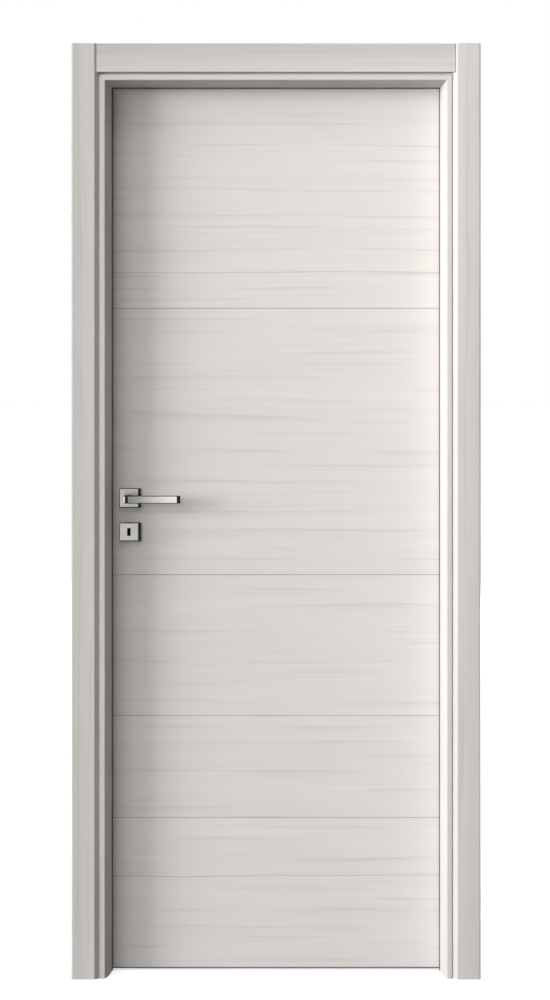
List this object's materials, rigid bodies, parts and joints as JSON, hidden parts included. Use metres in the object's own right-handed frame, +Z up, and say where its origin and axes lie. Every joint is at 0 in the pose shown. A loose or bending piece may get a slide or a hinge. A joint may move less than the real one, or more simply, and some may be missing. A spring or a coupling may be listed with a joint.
{
  "type": "interior door set",
  "caption": "Flush interior door with wood-look laminate on leaf, jambs and casings, hung on lift-off hinges, with a square-rose lever handle and a key escutcheon.",
  "frame": {"origin": "on the hinge jamb's wall face, at floor level, in the middle of the jamb's depth", "axes": "+X out of the hinge jamb into the wall, to the right as seen from the front; +Y away from the front, the way the leaf opens; +Z up"},
  "size_m": [0.956, 0.175, 2.185],
  "materials": {
    "frame_laminate": "matt wood-look laminate, grain along each member",
    "leaf_laminate": "matt wood-look laminate, grain across the leaf",
    "core_timber": "edge-banded timber",
    "seal_rubber": "soft matt seal",
    "satin_nickel": "satin nickel",
    "black_metal": "satin black",
    "lock_steel": "brushed steel",
    "hinge_steel": "satin nickel"
  },
  "bodies": {
    "frame": {"lock_reveal": "frame_laminate", "hinge_reveal": "frame_laminate", "head_reveal": "frame_laminate", "lock_jamb": "frame_laminate", "hinge_jamb": "frame_laminate", "head_jamb": "frame_laminate", "lock_side_casing": "frame_laminate", "hinge_side_casing": "frame_laminate", "head_casing": "frame_laminate", "lock_side_back_casing": "frame_laminate", "hinge_side_back_casing": "frame_laminate", "head_back_casing": "frame_laminate", "stop_seal": "seal_rubber", "strike_plate": "lock_steel", "upper_hinge_frame_half": "hinge_steel", "middle_hinge_frame_half": "hinge_steel", "lower_hinge_frame_half": "hinge_steel"},
    "leaf": {"leaf_front_skin": "leaf_laminate", "leaf_back_skin": "leaf_laminate", "leaf_lock_stile": "core_timber", "leaf_lock_block": "core_timber", "leaf_hinge_stile": "core_timber", "leaf_top_rail": "core_timber", "leaf_bottom_rail": "core_timber", "lock_case": "black_metal", "lock_forend": "lock_steel", "latch_bolt": "lock_steel", "dead_bolt": "lock_steel", "front_rose_base": "black_metal", "front_rose_face": "satin_nickel", "front_key_base": "black_metal", "front_key_face": "satin_nickel", "back_rose_base": "black_metal", "back_rose_face": "satin_nickel", "back_key_base": "black_metal", "back_key_face": "satin_nickel", "upper_hinge_leaf_half": "hinge_steel", "middle_hinge_leaf_half": "hinge_steel", "lower_hinge_leaf_half": "hinge_steel"},
    "lever_set": {"front_lever_core": "black_metal", "front_lever_face": "satin_nickel", "back_lever_core": "black_metal", "back_lever_face": "satin_nickel", "spindle": "lock_steel"}
  },
  "joints": [
    {"name": "leaf_swing", "type": "hinge", "parent": "frame", "child": "leaf", "pos_m": [-0.025, 0.065, 0], "axis": [0, 0, -1], "range_deg": [0, 170]},
    {"name": "lever_turn", "type": "hinge", "parent": "leaf", "child": "lever_set", "pos_m": [-0.7775, 0, 1.118], "axis": [0, 1, 0], "range_deg": [0, 40], "stiffness_Nm_per_rad": 1.5, "springref_deg": -28.65}
  ]
}
